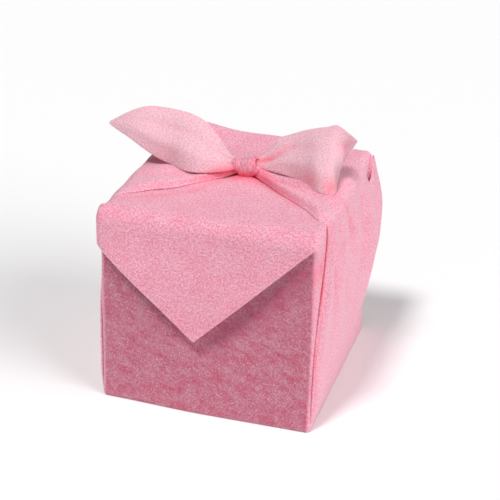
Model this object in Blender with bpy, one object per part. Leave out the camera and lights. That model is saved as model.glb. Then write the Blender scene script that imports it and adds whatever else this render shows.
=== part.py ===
"""Furoshiki wrap: one square cloth tied round a box that is left out.

The box stood slantwise on the cloth. The near corner went up the front and over the top,
the far corner went over it and hangs down the front as a pointed flap, and the two side
corners, the wings, come up over both and are tied in a square knot on top.
Metres, +Z up, +X to the right, -Y towards the front. The origin is the middle of the base.
"""

import math
from collections import namedtuple

import bmesh
import bpy
from mathutils import Vector

MM = 0.001

# Driving sizes of the wrapped form
BOX_SIDE = 0.1908  # inside width and depth of the wrap
WALL = 1.6 * MM  # cloth of the body
SHEET = 1.4 * MM  # cloth of the far corner
UNDER = 1.2 * MM  # cloth of the near corner, under it
PLY = 1.3 * MM  # cloth of the wings and tails
CLEAR = 1.0 * MM  # least gap between a wing and what it lies over
WING_BEND = {-1: 14.5 * MM, 1: 10.0 * MM}  # radius of a wing over a side's top edge
HALF = BOX_SIDE / 2 + WALL  # outer face of the body
TOP = 0.1897  # middle of the far corner's cloth on the top
NEAR_TOP = 0.1873  # middle of the near corner's cloth on the top

# The body's edges and rims. The folded corners hide the rims.
BASE_ROUND = 2.2 * MM
EDGE_ROUND_LOW = 4.0 * MM  # radius of the upright edges at the base
EDGE_ROUND_HIGH = 4.0 * MM  # and at the top
SIDE_RIM = 0.1835
FRONT_RIM = 0.1760
BACK_RIM = 0.1780
EMBED = 4.0 * MM  # how deep a folded corner is let into the body's rim
STATIONS = (-0.084, -0.066, -0.048, -0.032, -0.016, 0.0, 0.016, 0.032, 0.048, 0.066, 0.084)
CORNER_STEPS = 3
BODY_LEVELS = 9

# The pocket between a wing's rear fold and the body, at each back top corner
NOTCH_Y = 0.066
NOTCH_HALF = 0.018
NOTCH_DEPTH = 0.022

# How far the cloth bellies out at the upright back edges, which draw in low down
BELLY_RIGHT = 12.0 * MM
BELLY_LEFT = 6.0 * MM
BELLY_WIDTH = 0.042
BELLY_FOOT = 0.030
BELLY_RISE = 0.080
BELLY_HEAD = 0.210
BELLY_FALL = 0.080
DRAW_IN = 2.0 * MM
DRAW_HEIGHT = 0.028

# How far the foot stands out at the front and at the left, and in at the right
FOOT_FRONT = 4.2 * MM
FOOT_LEFT = 4.8 * MM
FOOT_RIGHT = -2.2 * MM
FOOT_TOP = 0.150  # it grows from this height down
FOOT_POWER = 1.5

# How the top rises to its back edge: two rounded humps, in the far quarter of the depth
HUMP_LEFT = 10.5 * MM
HUMP_LEFT_X = -0.075
HUMP_LEFT_HALF = 0.035
HUMP_MIDDLE = 4.5 * MM
HUMP_MIDDLE_HALF = 0.050
HUMP_FROM = 0.050
HUMP_RUN = 0.036
HUMP_FOOT = 0.150
HUMP_RISE = 0.036

RUMPLE = 1.0 * MM  # unevenness of the front and back panels
RUMPLE_EDGE = 0.086  # distance from the middle where it starts to count as such a panel
RUMPLE_FADE = 0.010
RUMPLE_FOOT = 0.020
RUMPLE_WAVES = ((31, 23, 0.6), (-17, 39, 0.0))  # turns for each metre of x and of z, start

# The near corner, from the front wall back over the top
NEAR_BEND = 6.0 * MM
NEAR_STEPS = 4
NEAR_HALF_WIDTH = 0.088
NEAR_FLAT = ((-0.040, 0.089), (0.020, 0.088), (0.084, 0.040))  # y and half the width there
NEAR_COLUMNS = 8

# The far corner, from the back wall over the top and down the front to its tip
TIP_X = -0.0095
TIP_Z = 0.0765
TIP_SLOPE = {-1: 0.910, 1: 0.965}  # height for each metre to the side, close to a square corner
TIP_BLUNT = 1.5 * MM
TIP_BLEND = 0.090  # the middle column runs over to the tip in this length
FLAP_Y = -0.1012
FLAP_BEND = 13.5 * MM  # radius over the front top edge
BACK_BEND = 6.5 * MM  # radius over the back top edge
FRONT_STEPS = 5
BACK_STEPS = 3
FLAP_STAND = 3.0 * MM  # how far it stands off the front, more at the sides
FLAP_CURL = 2.6 * MM
FLAP_HANG = 0.060  # it does so from this far below its bend
LIP_START = 0.0936  # where the cloth turns down over the sides
LIP_BEND = 5.0 * MM
SLACK_START = 0.0866  # the same between the left wing and the front edge, where it lies slack
SLACK_BEND = 12.0 * MM
SLACK_FROM = -0.0900
SLACK_FADE = 2.0 * MM
LIP_LEAST = 12.0 * MM  # width of the faces kept for the lip where the edge stops short of it
LIP_SHARE = 0.2
CORNER_REACH = 0.1036  # flat distance to the edge at the front corners
WRAP_SLOPE = 1.2  # how fast it grows down the front, for each metre
SIDE_REACH = 0.0905  # the same under the wings
BACK_FROM = 0.083  # the edge lies further out behind the pockets
BACK_REACH = 0.0955
WALL_REACH = 0.0925
REACH_FROM = {-1: -0.0770, 1: -0.0550}  # the edge runs outwards from here to the front corners
TOP_STATIONS = (0.0845, 0.0770, 0.0680, 0.0590, 0.048, 0.024, 0.000, -0.028, -0.055, -0.067, -0.078)
FRONT_STATIONS = (0.170, 0.164, 0.157, 0.148, 0.138, 0.126, 0.114, 0.102, 0.092, 0.083)
FLAP_INNER = 5  # columns of faces from the middle to each lip
FLAP_LIP = 4  # and on each lip

# The knot
KNOT = Vector((0.0070, -0.0010, 0.2008))
KNOT_HALF = 0.0150
KNOT_RADIUS_Y = 0.0098
KNOT_RADIUS_Z = 0.0088
KNOT_GATHERS = 4
KNOT_GATHER = 0.07
KNOT_SLANT = 0.8
KNOT_END = 0.42  # size of its ends, for a middle of 1
KNOT_SHOULDER = 3.2  # higher is a squarer roll
KNOT_ROUND = 20
KNOT_ALONG = 16

# Each wing, from its base to the knot. front and back are its folded edges, lift is how far
# it stands off the body, crown is how much higher its middle is, fold is the folds' height.
WingRow = namedtuple("WingRow", "place front back lift crown fold")
RIGHT_SIDE = (  # place is the height on the side
    WingRow(0.0085, -0.0940, 0.0895, -0.00245, 0.0, 0.0),
    WingRow(0.0200, -0.0945, 0.0900, 0.0006, 0.0, 0.0),
    WingRow(0.0400, -0.0950, 0.0900, 0.0014, 0.0004, 0.0003),
    WingRow(0.0700, -0.0950, 0.0870, 0.0018, 0.0010, 0.0008),
    WingRow(0.1000, -0.0920, 0.0830, 0.0020, 0.0016, 0.0020),
    WingRow(0.1300, -0.0820, 0.0785, 0.0022, 0.0018, 0.0026),
    WingRow(0.1550, -0.0720, 0.0730, 0.0020, 0.0014, 0.0026),
    WingRow(0.1700, -0.0685, 0.0665, 0.0014, 0.0010, 0.0022),
    WingRow(0.1808, -0.0680, 0.0595, 0.0012, 0.0008, 0.0016),
)
RIGHT_TOP = (  # place is the distance across the top from the middle
    WingRow(0.0880, -0.0680, 0.0550, 0.0014, 0.0012, 0.0014),
    WingRow(0.0800, -0.0590, 0.0530, 0.0016, 0.0020, 0.0016),
    WingRow(0.0650, -0.0455, 0.0440, 0.0018, 0.0030, 0.0017),
    WingRow(0.0500, -0.0330, 0.0310, 0.0020, 0.0030, 0.0017),
    WingRow(0.0370, -0.0215, 0.0200, 0.0024, 0.0026, 0.0013),
    WingRow(0.0270, -0.0130, 0.0120, 0.0040, 0.0020, 0.0008),
    WingRow(0.0190, -0.0085, 0.0080, 0.0070, 0.0015, 0.0004),
    WingRow(0.0120, -0.0060, 0.0060, 0.0095, 0.0010, 0.0),
)
LEFT_SIDE = (
    WingRow(0.0085, -0.0940, 0.0895, -0.00245, 0.0, 0.0),
    WingRow(0.0200, -0.0945, 0.0905, 0.0008, 0.0, 0.0),
    WingRow(0.0400, -0.0950, 0.0905, 0.0020, 0.0004, 0.0002),
    WingRow(0.0700, -0.0950, 0.0885, 0.0024, 0.0008, 0.0006),
    WingRow(0.1000, -0.0935, 0.0845, 0.0026, 0.0012, 0.0012),
    WingRow(0.1300, -0.0890, 0.0795, 0.0022, 0.0016, 0.0016),
    WingRow(0.1550, -0.0845, 0.0745, 0.0012, 0.0010, 0.0012),
    WingRow(0.1765, -0.0785, 0.0680, 0.0002, 0.0006, 0.0006),
)
LEFT_TOP = (
    WingRow(0.0835, -0.0665, 0.0555, 0.0004, 0.0008, 0.0008),
    WingRow(0.0760, -0.0625, 0.0510, 0.0010, 0.0016, 0.0014),
    WingRow(0.0650, -0.0535, 0.0440, 0.0018, 0.0028, 0.0017),
    WingRow(0.0480, -0.0440, 0.0310, 0.0020, 0.0030, 0.0017),
    WingRow(0.0330, -0.0290, 0.0190, 0.0024, 0.0028, 0.0013),
    WingRow(0.0200, -0.0170, 0.0120, 0.0036, 0.0020, 0.0008),
    WingRow(0.0090, -0.0095, 0.0080, 0.0070, 0.0015, 0.0004),
    WingRow(0.0010, -0.0060, 0.0060, 0.0095, 0.0010, 0.0),
)
EDGE_ROLL = 0.08  # share of the width over which a folded edge rolls down
EDGE_LIFT = 0.20  # share of the lift left at the edge
NECK_LIFT = 0.50  # and where the wing stands high, at the knot
NECK_FROM = 3.0 * MM
NECK_RISE = 6.5 * MM
WING_STRIPS = 20  # strips of faces from one folded edge to the other
WING_BEND_STEPS = 4

# A wing's folds: where each lies between the front fold (0) and the rear one (1), its
# half-width, and its height for each metre of the table's fold. Troughs are negative.
Fold = namedtuple("Fold", "across half_width height")
RIGHT_FOLDS = (
    Fold(0.07, 0.060, 0.70),
    Fold(0.20, 0.050, -0.55),
    Fold(0.34, 0.065, 0.85),
    Fold(0.49, 0.055, -0.60),
    Fold(0.63, 0.060, 0.70),
    Fold(0.77, 0.050, -0.50),
    Fold(0.91, 0.060, 0.80),
)
LEFT_FOLDS = (
    Fold(0.08, 0.070, 0.60),
    Fold(0.24, 0.060, -0.60),
    Fold(0.40, 0.070, 0.80),
    Fold(0.56, 0.055, -0.50),
    Fold(0.70, 0.060, 0.60),
    Fold(0.84, 0.055, -0.45),
    Fold(0.94, 0.050, 0.60),
)

# Each tail, from the knot to its corner: its two edges, how far the middle stands out of the
# line between them, and the height of its soft folds.
TailRow = namedtuple("TailRow", "upper lower crown fold")
LEFT_TAIL = (
    TailRow((0.0020, 0.0050, 0.2070), (0.0020, -0.0040, 0.2030), 0.0010, 0.0),
    TailRow((-0.0100, 0.0085, 0.2050), (-0.0095, -0.0115, 0.2005), 0.0030, 0.0004),
    TailRow((-0.0245, 0.0120, 0.2195), (-0.0240, -0.0185, 0.2003), 0.0040, 0.0010),
    TailRow((-0.0365, 0.0150, 0.2310), (-0.0360, -0.0215, 0.2003), 0.0050, 0.0018),
    TailRow((-0.0508, 0.0170, 0.2370), (-0.0490, -0.0195, 0.2003), 0.0060, 0.0022),
    TailRow((-0.0665, 0.0180, 0.2392), (-0.0640, -0.0120, 0.2013), 0.0065, 0.0022),
    TailRow((-0.0799, 0.0180, 0.2402), (-0.0760, -0.0110, 0.2045), 0.0060, 0.0020),
    TailRow((-0.0899, 0.0160, 0.2408), (-0.0885, -0.0095, 0.2107), 0.0050, 0.0014),
    TailRow((-0.0998, 0.0130, 0.2392), (-0.1012, -0.0070, 0.2173), 0.0036, 0.0010),
    TailRow((-0.1100, 0.0090, 0.2352), (-0.1130, -0.0030, 0.2215), 0.0020, 0.0004),
    TailRow((-0.1258, 0.0035, 0.2265), (-0.1258, 0.0022, 0.2257), 0.0, 0.0),
)
RIGHT_TAIL = (
    TailRow((0.0120, 0.0050, 0.2065), (0.0120, -0.0040, 0.2035), 0.0010, 0.0),
    TailRow((0.0200, 0.0100, 0.2130), (0.0270, -0.0030, 0.2012), 0.0024, 0.0004),
    TailRow((0.0290, 0.0170, 0.2230), (0.0410, -0.0055, 0.2003), 0.0034, 0.0010),
    TailRow((0.0400, 0.0200, 0.2275), (0.0530, -0.0085, 0.1990), 0.0046, 0.0018),
    TailRow((0.0520, 0.0215, 0.2320), (0.0658, -0.0155, 0.1982), 0.0056, 0.0022),
    TailRow((0.0640, 0.0220, 0.2355), (0.0795, -0.0275, 0.1977), 0.0060, 0.0022),
    TailRow((0.0740, 0.0220, 0.2380), (0.0915, -0.0245, 0.1965), 0.0056, 0.0020),
    TailRow((0.0828, 0.0220, 0.2399), (0.0894, -0.0055, 0.1990), 0.0044, 0.0016),
    TailRow((0.0925, 0.0170, 0.2365), (0.0880, 0.0092, 0.2050), 0.0028, 0.0010),
    TailRow((0.0985, 0.0130, 0.2345), (0.0949, 0.0098, 0.2190), 0.0012, 0.0004),
    TailRow((0.1025, 0.0105, 0.2330), (0.1018, 0.0095, 0.2318), 0.0, 0.0),
)
TAIL_FOLDS = (
    Fold(0.30, 0.12, 1.0),
    Fold(0.62, 0.12, -1.0),
)
TAIL_STRIPS = 8


def clear_scene():
    for obj in list(bpy.data.objects):
        bpy.data.objects.remove(obj)


def cloth_material():
    material = bpy.data.materials.new("pink_cloth")
    material.use_nodes = True
    shader = material.node_tree.nodes["Principled BSDF"]
    shader.inputs["Base Color"].default_value = (0.80, 0.33, 0.43, 1.0)
    shader.inputs["Roughness"].default_value = 0.85
    shader.inputs["Metallic"].default_value = 0.0
    return material


def bell(x):
    return math.exp(-x * x)


def ease(x):
    """0 below 0, 1 above 1, and smooth between them."""
    x = min(max(x, 0.0), 1.0)
    return x * x * (3 - 2 * x)


def between(a, b, share):
    return a + (b - a) * share


def fold_height(across, folds):
    """How high a piece's folds stand at a place across it, for each metre of its fold."""
    return sum(fold.height * bell((across - fold.across) / fold.half_width) for fold in folds)


# ---------------------------------------------------------------- meshes


def mesh_object(name, points, faces):
    mesh = bpy.data.meshes.new(name)
    mesh.from_pydata([settled(p) for p in points], [], faces)
    obj = bpy.data.objects.new(name, mesh)
    bpy.context.scene.collection.objects.link(obj)
    work = bmesh.new()
    work.from_mesh(mesh)
    bmesh.ops.recalc_face_normals(work, faces=work.faces)
    bmesh.ops.triangulate(work, faces=work.faces)
    work.to_mesh(mesh)
    work.free()
    return obj


def settled(point):
    """A point of the wrap, with the foot that stands out and the humps of the back edge."""
    x, y, z = point
    hump = HUMP_LEFT * bell((x - HUMP_LEFT_X) / HUMP_LEFT_HALF)
    hump += HUMP_MIDDLE * bell(x / HUMP_MIDDLE_HALF)
    hump *= ease((y - HUMP_FROM) / HUMP_RUN) * ease((z - HUMP_FOOT) / HUMP_RISE)
    low = max(1 - z / FOOT_TOP, 0.0) ** FOOT_POWER
    y += min(y, 0.0) / HALF * FOOT_FRONT * low * ease((x + HALF) / HALF)
    x += (FOOT_RIGHT * max(x, 0.0) + FOOT_LEFT * min(x, 0.0)) / HALF * low
    return x, y, z + hump


def band_faces(loops, count):
    """Faces between closed loops of points that follow each other."""
    faces = []
    for i in range(loops - 1):
        for k in range(count):
            after = (k + 1) % count
            low, high = i * count, (i + 1) * count
            faces.append((low + k, low + after, high + after, high + k))
    return faces


def closed_object(name, loops):
    """A closed skin over loops of points, with a fan of faces on the first and last loop."""
    count = len(loops[0])
    points = [p for loop in loops for p in loop]
    faces = band_faces(len(loops), count)
    for start, loop in ((0, loops[0]), ((len(loops) - 1) * count, loops[-1])):
        middle = len(points)
        points.append(sum(loop, Vector()) / count)
        faces += [(start + k, start + (k + 1) % count, middle) for k in range(count)]
    return mesh_object(name, points, faces)


def grid_normals(rows):
    """The normal at each point of a grid of points."""
    last_row, last_column = len(rows) - 1, len(rows[0]) - 1
    normals = []
    for i, row in enumerate(rows):
        normals.append([])
        for j in range(len(row)):
            along = rows[min(i + 1, last_row)][j] - rows[max(i - 1, 0)][j]
            across = row[min(j + 1, last_column)] - row[max(j - 1, 0)]
            normals[-1].append(along.cross(across).normalized())
    return normals


def sheet_object(name, rows, thickness):
    """A closed sheet of cloth on a grid of middle points, half its thickness to each side."""
    high, wide = len(rows), len(rows[0])
    normals = grid_normals(rows)
    points = [
        rows[i][j] + normals[i][j] * (side * thickness / 2)
        for side in (1, -1)
        for i in range(high)
        for j in range(wide)
    ]

    def at(side, i, j):
        return side * high * wide + i * wide + j

    faces = []
    for i in range(high - 1):
        for j in range(wide - 1):
            cell = ((i, j), (i + 1, j), (i + 1, j + 1), (i, j + 1))
            faces.append([at(0, *c) for c in cell])
            faces.append([at(1, *c) for c in reversed(cell)])
    rim = [(i, 0) for i in range(high)]
    rim += [(high - 1, j) for j in range(1, wide)]
    rim += [(i, wide - 1) for i in range(high - 2, -1, -1)]
    rim += [(0, j) for j in range(wide - 2, 0, -1)]
    for here, there in zip(rim, rim[1:] + rim[:1]):
        faces.append([at(0, *here), at(1, *here), at(1, *there), at(0, *there)])
    return mesh_object(name, points, faces)


# ---------------------------------------------------------------- the body


def swell(x, y, z):
    """How far the body's cloth stands out of its flat faces at a place on them."""
    free = ease((BELLY_HEAD - z) / BELLY_FALL)
    back = bell((y - HALF) / BELLY_WIDTH)
    right = bell((x - HALF) / BELLY_WIDTH) * back
    left = bell((x + HALF) / BELLY_WIDTH) * back
    high = free * ease((z - BELLY_FOOT) / BELLY_RISE)
    belly = high * (BELLY_RIGHT * right + BELLY_LEFT * left)
    drawn = DRAW_IN * right * bell((z - DRAW_HEIGHT) / (DRAW_HEIGHT / 2))
    panel = ease((abs(y) - RUMPLE_EDGE) / RUMPLE_FADE) * ease((z - BASE_ROUND) / RUMPLE_FOOT) * free
    waves = [math.sin(a * x + b * z + start) for a, b, start in RUMPLE_WAVES]
    return belly - drawn + RUMPLE * panel * waves[0] * waves[1]


def plan_ring(rounding):
    """Points round the square plan, with the outward direction at each."""
    straight = HALF - rounding
    ring = []
    for side in range(4):
        turn = math.radians(90 * side)
        along = [(HALF, y, 0.0) for y in (-straight,) + STATIONS]
        for k in range(CORNER_STEPS):
            angle = math.radians(90 * k / CORNER_STEPS)
            x = straight + rounding * math.cos(angle)
            along.append((x, straight + rounding * math.sin(angle), angle))
        cosine, sine = math.cos(turn), math.sin(turn)
        for x, y, angle in along:
            place = Vector((x * cosine - y * sine, x * sine + y * cosine, 0))
            ring.append((place, Vector((math.cos(turn + angle), math.sin(turn + angle), 0))))
    return ring


def rim_height(x, y):
    """The height of the body's top rim at a place on the plan."""
    low = FRONT_RIM if y < 0 else BACK_RIM
    height = between(low, SIDE_RIM, ease((abs(x) - HALF + EDGE_ROUND_HIGH) / EDGE_ROUND_HIGH))
    on_side = abs(x) > HALF - WALL / 2
    notch = max(0.0, 1 - abs(y - NOTCH_Y) / NOTCH_HALF) if on_side else 0.0
    return height - NOTCH_DEPTH * notch


def body_loop(height, inset, share, inwards):
    """One loop of the walls: at a height, or at a share of the way up to the rim."""
    loop = []
    for place, out in plan_ring(between(EDGE_ROUND_LOW, EDGE_ROUND_HIGH, share)):
        z = between(BASE_ROUND, rim_height(place.x, place.y), share) if share else height
        point = place + out * (swell(place.x, place.y, z) - inset - inwards)
        loop.append(Vector((point.x, point.y, z)))
    return loop


def body():
    """Bottom, front, back and side walls, open at the top under the folded corners."""
    levels = []
    for degrees in (0, 30, 60, 90):
        angle = math.radians(degrees)
        inset = BASE_ROUND * (1 - math.sin(angle))
        levels.append((BASE_ROUND * (1 - math.cos(angle)), inset, 0.0))
    levels += [(None, 0.0, (k + 1) / BODY_LEVELS) for k in range(BODY_LEVELS)]
    outer = [body_loop(*level, 0.0) for level in levels]
    inner = [body_loop(*level, WALL) for level in levels[3:]]
    floor = body_loop(WALL, levels[1][1], 0.0, WALL)
    return closed_object("furoshiki_cloth", outer + inner[::-1] + [floor])


# ---------------------------------------------------------------- the near and far corners


def arc(centre_y, centre_z, radius, start, end, steps):
    """Points on an arc in the middle plane and the outward directions, from +Y towards +Z."""
    found = []
    for k in range(steps + 1):
        angle = math.radians(between(start, end, k / steps))
        out = Vector((0, math.cos(angle), math.sin(angle)))
        found.append((Vector((0, centre_y, centre_z)) + out * radius, out))
    return found


def near_corner():
    """The near corner of the cloth: out of the front wall's rim and back over the box."""
    middle = -(HALF - WALL / 2)
    bend = arc(middle + NEAR_BEND, NEAR_TOP - NEAR_BEND, NEAR_BEND, 180, 90, NEAR_STEPS)
    profile = [(middle, FRONT_RIM - EMBED, NEAR_HALF_WIDTH)]
    profile += [(point.y, point.z, NEAR_HALF_WIDTH) for point, _ in bend]
    profile += [(y, NEAR_TOP, half_width) for y, half_width in NEAR_FLAT]
    shares = [2 * k / NEAR_COLUMNS - 1 for k in range(NEAR_COLUMNS + 1)]
    rows = [[Vector((half * share, y, z)) for share in shares] for y, z, half in profile]
    return sheet_object("near_corner", rows, UNDER)


def flap_profile():
    """The far corner's path in the middle plane: (point, outward, flat distance to the tip)."""
    back = HALF - WALL / 2
    path = [(Vector((0, back, BACK_RIM - EMBED)), Vector((0, 1, 0)))]
    path += arc(back - BACK_BEND, TOP - BACK_BEND, BACK_BEND, 0, 90, BACK_STEPS)
    path += [(Vector((0, y, TOP)), Vector((0, 0, 1))) for y in TOP_STATIONS]
    path += arc(FLAP_Y + FLAP_BEND, TOP - FLAP_BEND, FLAP_BEND, 90, 180, FRONT_STEPS)
    path += [(Vector((0, FLAP_Y, z)), Vector((0, -1, 0))) for z in FRONT_STATIONS]
    path.append((Vector((0, FLAP_Y, TIP_Z + TIP_BLUNT)), Vector((0, -1, 0))))
    to_tip, found = TIP_BLUNT, []
    for k in range(len(path) - 1, -1, -1):
        if k < len(path) - 1:
            to_tip += (path[k + 1][0] - path[k][0]).length
        found.append((*path[k], to_tip))
    return found[::-1]


def flap_reach(point, to_tip, side):
    """How far the far corner's cloth reaches to one side, measured flat from the middle."""
    if point.y < 0:
        start = REACH_FROM[side]
        forward = min(max((start - point.y) / (start - FLAP_Y - FLAP_BEND), 0.0), 1.0)
        wrapped = between(SIDE_REACH, CORNER_REACH, forward)
        wrapped += WRAP_SLOPE * max(TOP - FLAP_BEND - point.z, 0.0)
        return min(side * TIP_X + to_tip / TIP_SLOPE[side], wrapped)
    if point.y > BACK_FROM:
        return between(WALL_REACH, BACK_REACH, ease((point.z - BACK_RIM) / (TOP - BACK_RIM)))
    return SIDE_REACH


def side_bend(y, side):
    """Where the far corner turns down over a side's top edge, and with what radius."""
    slack = ease((y - SLACK_FROM) / SLACK_FADE) if side < 0 and y < 0 else 0.0
    return between(LIP_START, SLACK_START, slack), between(LIP_BEND, SLACK_BEND, slack)


def turned_down(flat, start, bend):
    """(distance from the middle, depth) of cloth that turns down over a side's top edge."""
    past = flat - start
    if past <= 0:
        return flat, 0.0
    angle = past / bend
    if angle < math.pi / 2:
        return start + bend * math.sin(angle), bend * (1 - math.cos(angle))
    return start + bend, bend + past - bend * math.pi / 2


def flap_row(point, out, to_tip):
    """One row of the far corner, from its left edge to its right one."""
    centre = TIP_X * (1 - ease(to_tip / TIP_BLEND)) if point.y < 0 else 0.0
    hang = ease((TOP - FLAP_BEND - point.z) / FLAP_HANG) if point.y < 0 else 0.0
    row = []
    for column in range(-FLAP_INNER - FLAP_LIP, FLAP_INNER + FLAP_LIP + 1):
        side = -1 if column < 0 else 1
        reach = flap_reach(point, to_tip, side)
        start, bend = side_bend(point.y, side)
        least = min(LIP_LEAST, LIP_SHARE * (reach - side * centre))
        lip = max(reach - start, least)
        flat = between(side * centre, reach - lip, min(abs(column) / FLAP_INNER, 1.0))
        flat += lip * max(abs(column) - FLAP_INNER, 0) / FLAP_LIP
        across, depth = turned_down(flat, start, bend)
        stand = hang * (FLAP_STAND + FLAP_CURL * ease(across / HALF))
        row.append(point + Vector((side * across, 0, 0)) + out * (stand - depth))
    return row


def far_corner():
    rows = [flap_row(*step) for step in flap_profile()]
    return sheet_object("far_corner", rows, SHEET)


# ---------------------------------------------------------------- the wings


def wing_path(side_rows, top_rows, bend):
    """The wing's path up the side and over the top: (point on the body, outward, row)."""
    sideways, up = Vector((1, 0, 0)), Vector((0, 0, 1))
    off = CLEAR + PLY / 2
    turn = Vector((HALF + off - bend, 0, TOP + SHEET / 2 + off - bend))
    path = [(Vector((HALF + off, 0, row.place)), sideways, row) for row in side_rows]
    for step in range(1, WING_BEND_STEPS):
        share = step / WING_BEND_STEPS
        angle = math.radians(90 * share)
        out = sideways * math.cos(angle) + up * math.sin(angle)
        row = WingRow(*(between(a, b, share) for a, b in zip(side_rows[-1], top_rows[0])))
        path.append((turn + out * bend, out, row))
    path += [(Vector((row.place, 0, turn.z + bend)), up, row) for row in top_rows]
    return path


def wing_object(name, side, side_rows, top_rows, folds):
    """A wing: up one side of the body from its base, over the edge and in to the knot."""
    grid = []
    for place, out, row in wing_path(side_rows, top_rows, WING_BEND[side]):
        line = []
        for k in range(WING_STRIPS + 1):
            across = k / WING_STRIPS
            y = between(row.front, row.back, across)
            edge = ease(min(across, 1 - across) / EDGE_ROLL)
            edge_lift = between(EDGE_LIFT, NECK_LIFT, ease((row.lift - NECK_FROM) / NECK_RISE))
            height = row.lift * (between(edge_lift, 1.0, edge) if row.lift > 0 else 1.0)
            height += row.crown * 4 * across * (1 - across)
            height += row.fold * edge * fold_height(across, folds)
            height += swell(side * HALF, y, place.z) * max(out.x, 0)
            point = place + out * height
            line.append(Vector((side * point.x, y, point.z)))
        grid.append(line)
    return sheet_object(name, grid, PLY)


# ---------------------------------------------------------------- tails and knot


def tail_object(name, table):
    grid = []
    for row in table:
        lower = Vector(row.lower)
        width = Vector(row.upper) - lower
        out = Vector((0, -width.z, width.y)).normalized()
        line = []
        for k in range(TAIL_STRIPS + 1):
            across = k / TAIL_STRIPS
            stand = row.crown * 4 * across * (1 - across)
            stand += row.fold * fold_height(across, TAIL_FOLDS)
            line.append(lower + width * across + out * stand)
        grid.append(line)
    return sheet_object(name, grid, PLY)


def knot_object():
    """The knot: a short roll of cloth round both wings, with its gathers across it."""
    loops = []
    for i in range(KNOT_ALONG + 1):
        share = i / KNOT_ALONG
        x = between(-KNOT_HALF, KNOT_HALF, share)
        shoulder = math.sqrt(max(0.0, 1 - abs(2 * share - 1) ** KNOT_SHOULDER))
        size = between(KNOT_END, 1.0, shoulder)
        loop = []
        for k in range(KNOT_ROUND):
            angle = 2 * math.pi * k / KNOT_ROUND
            wave = math.cos(2 * math.pi * KNOT_GATHERS * share + KNOT_SLANT * math.sin(angle))
            radius = size * (1 + KNOT_GATHER * shoulder * wave)
            y = KNOT_RADIUS_Y * radius * math.cos(angle)
            z = KNOT_RADIUS_Z * radius * math.sin(angle)
            loop.append(KNOT + Vector((x, y, z)))
        loops.append(loop)
    return closed_object("knot", loops)


# ---------------------------------------------------------------- the whole cloth


def join(cloth, parts):
    """Makes one body of the cloth and its parts, which are then only guides."""
    for part in parts:
        part.hide_render = True
        part.display_type = "WIRE"
        modifier = cloth.modifiers.new("join_" + part.name, "BOOLEAN")
        modifier.operation = "UNION"
        modifier.solver = "EXACT"
        modifier.object = part


def main():
    clear_scene()
    cloth = body()
    cloth.data.materials.append(cloth_material())
    parts = [
        near_corner(),
        far_corner(),
        wing_object("right_wing", 1, RIGHT_SIDE, RIGHT_TOP, RIGHT_FOLDS),
        wing_object("left_wing", -1, LEFT_SIDE, LEFT_TOP, LEFT_FOLDS),
        knot_object(),
        tail_object("left_tail", LEFT_TAIL),
        tail_object("right_tail", RIGHT_TAIL),
    ]
    join(cloth, parts)
    cloth.data.shade_smooth()
    cloth.data.set_sharp_from_angle(angle=math.radians(40))


main()
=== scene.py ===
"""The looks of a furoshiki wrap: one square of pink non-woven cloth, folded and tied.

Every layer is a thin closed sheet on a grid of its middle points, made from the same named
sizes as the solid, with its main creases given one by one. The layers are joined to one cloth.
Metres, +Z up, +X to the right, -Y towards the front. The origin is the middle of the base.
"""

import math
from collections import namedtuple

import bmesh
import bpy
import numpy as np
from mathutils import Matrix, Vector


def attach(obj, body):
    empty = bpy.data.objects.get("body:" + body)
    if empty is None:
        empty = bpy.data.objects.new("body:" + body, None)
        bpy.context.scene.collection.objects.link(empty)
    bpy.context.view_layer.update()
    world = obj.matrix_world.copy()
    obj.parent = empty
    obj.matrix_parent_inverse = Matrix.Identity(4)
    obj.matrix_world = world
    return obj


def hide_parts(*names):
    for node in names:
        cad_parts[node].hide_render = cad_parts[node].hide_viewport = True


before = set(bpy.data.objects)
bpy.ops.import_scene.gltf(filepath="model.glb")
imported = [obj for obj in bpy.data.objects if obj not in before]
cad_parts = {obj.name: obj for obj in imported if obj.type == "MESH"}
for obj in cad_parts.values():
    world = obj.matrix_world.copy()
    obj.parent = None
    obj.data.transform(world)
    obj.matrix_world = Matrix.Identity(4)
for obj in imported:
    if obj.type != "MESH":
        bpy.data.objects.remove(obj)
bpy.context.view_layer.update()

MM = 0.001


def rows(kind, scales, table):
    """A table's rows with their named columns. There is one scale, or one for each column."""
    scales = scales if isinstance(scales, tuple) else (scales,) * len(kind._fields)

    def scaled(value, scale):
        if isinstance(value, tuple):
            return tuple(scaled(part, scale) for part in value)
        return value * scale

    return tuple(kind(*map(scaled, row, scales)) for row in table)


# ---- sizes of the wrapped form

CLOTH = 0.7 * MM  # one layer
HALF = 0.0970  # outer face of the walls, from the middle
TOP = 0.1904  # outer face of the cloth on the top

# The walls
BASE_ROUND = 2.2 * MM
EDGE_ROUND_LOW = 4.0 * MM
EDGE_ROUND_HIGH = 4.0 * MM
SIDE_RIM = {-1: 0.1835, 1: 0.1872}  # for each side
FRONT_RIM = 0.1760
BACK_RIM = 0.1780
BACK_SEAM = 0.1738  # where the far corner goes on from the back wall
TUCK = 1.1 * MM  # how far the rim goes in behind it
PANEL_FROM = 0.0900  # the front panel's painted shade, a deeper rose, begins in front of this,
PANEL_FADE = 0.005
PANEL_HALF = 0.0957  # and ends this far to the sides
PANEL_SIDE_FADE = 0.003
WALL_STRIPS = 36
CORNER_STRIPS = 5
WALL_LEVELS = 34
FLOOR_RINGS = 9

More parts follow.
